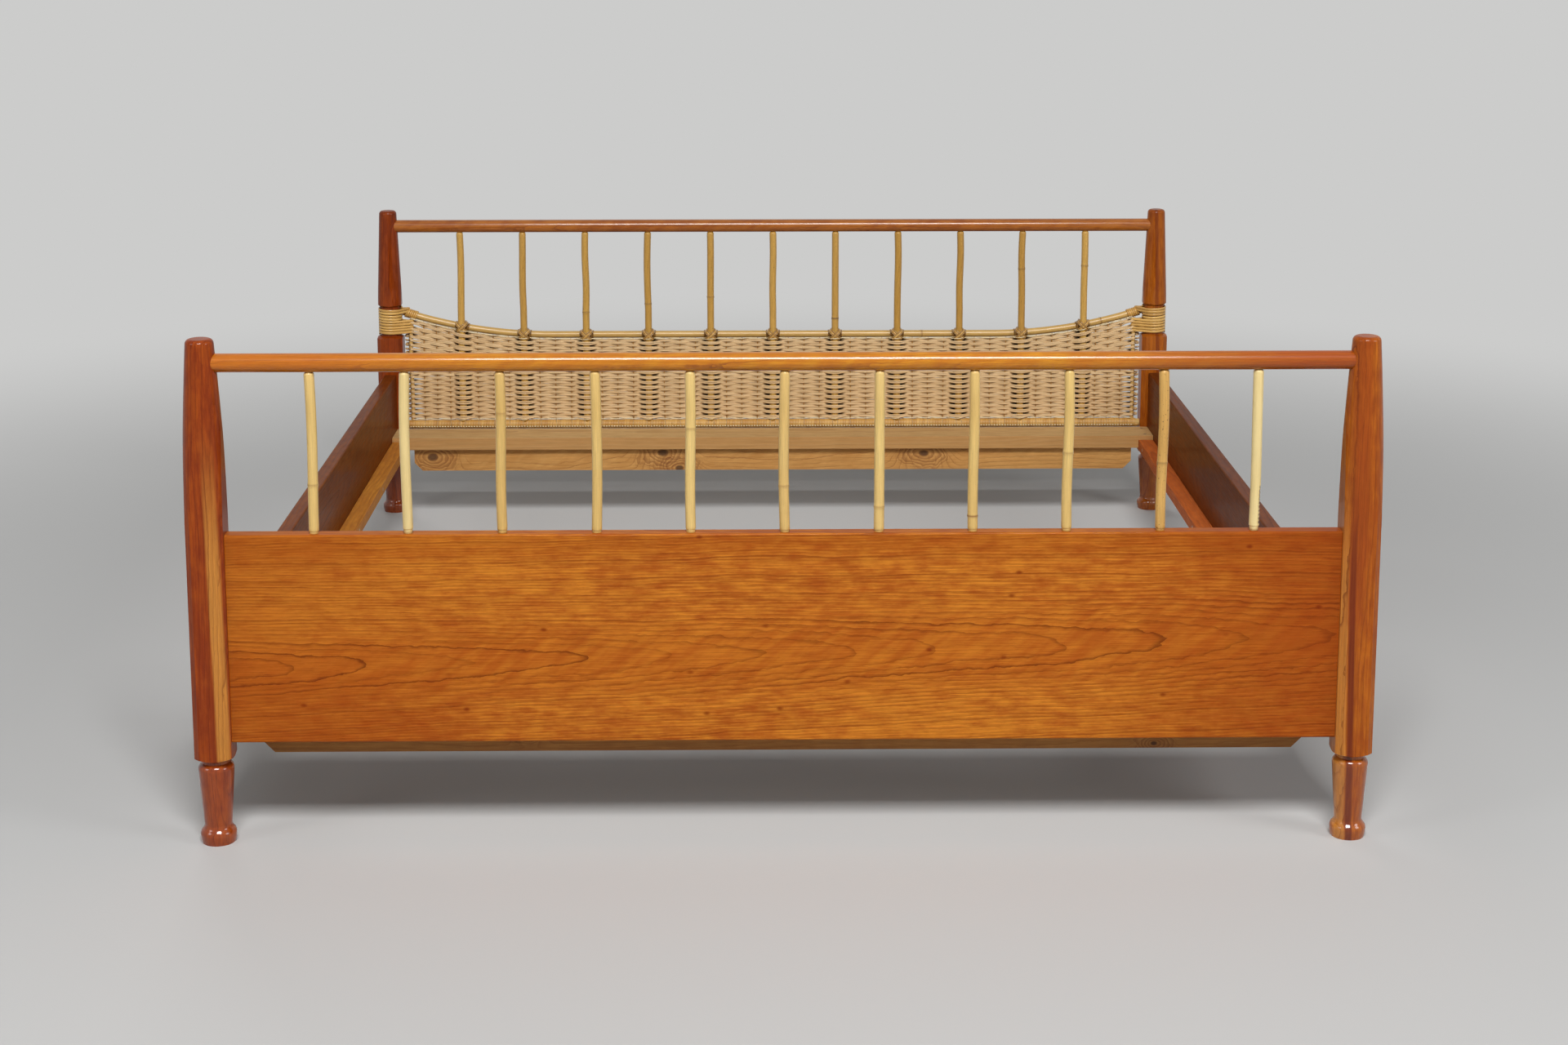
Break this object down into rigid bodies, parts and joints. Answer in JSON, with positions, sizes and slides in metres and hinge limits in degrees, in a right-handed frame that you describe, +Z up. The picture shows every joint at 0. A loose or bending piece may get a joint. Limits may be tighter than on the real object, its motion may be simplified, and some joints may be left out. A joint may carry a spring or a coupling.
{
  "type": "double bed",
  "caption": "Low cherry double bed with turned posts, round top rails and rattan spindles, a solid panel at one end and a woven cane panel at the other.",
  "frame": {"origin": "on the floor under the middle of the bed", "axes": "+X across the bed, +Y from the panelled foot end to the cane head end, +Z up"},
  "size_m": [1.9, 2.1, 0.832],
  "materials": {
    "cherry": "gloss lacquer",
    "pine": "plain planed",
    "rattan": "satin",
    "cane_binding": "satin",
    "cane_weave": "matte",
    "steel": "zinc plated"
  },
  "bodies": {
    "root": {"bottom_bar": "rattan", "bottom_bar_wrap": "cane_binding", "cane_weave": "cane_weave", "crest_bindings": "cane_binding", "crest_lashings": "cane_binding", "crest_rail": "rattan", "foot_cross_rail": "pine", "foot_ledge": "pine", "foot_panel": "cherry", "foot_post_left": "cherry", "foot_post_right": "cherry", "foot_spindle_01": "rattan", "foot_spindle_02": "rattan", "foot_spindle_03": "rattan", "foot_spindle_04": "rattan", "foot_spindle_05": "rattan", "foot_spindle_06": "rattan", "foot_spindle_07": "rattan", "foot_spindle_08": "rattan", "foot_spindle_09": "rattan", "foot_spindle_10": "rattan", "foot_spindle_11": "rattan", "foot_top_rail": "cherry", "head_cross_rail": "pine", "head_ledge": "pine", "head_post_left": "cherry", "head_post_right": "cherry", "head_spindle_01": "rattan", "head_spindle_02": "rattan", "head_spindle_03": "rattan", "head_spindle_04": "rattan", "head_spindle_05": "rattan", "head_spindle_06": "rattan", "head_spindle_07": "rattan", "head_spindle_08": "rattan", "head_spindle_09": "rattan", "head_spindle_10": "rattan", "head_spindle_11": "rattan", "head_top_rail": "cherry", "ledge_screws": "steel", "ledger_left": "pine", "ledger_right": "pine", "ledger_screws": "steel", "neck_bindings": "cane_binding", "panel_dowels": "pine", "post_slot_plates": "steel", "rail_hooks": "steel", "side_rail_left": "cherry", "side_rail_right": "cherry", "side_stake_left": "rattan", "side_stake_right": "rattan", "thin_stakes": "cane_weave"}
  },
  "joints": []
}
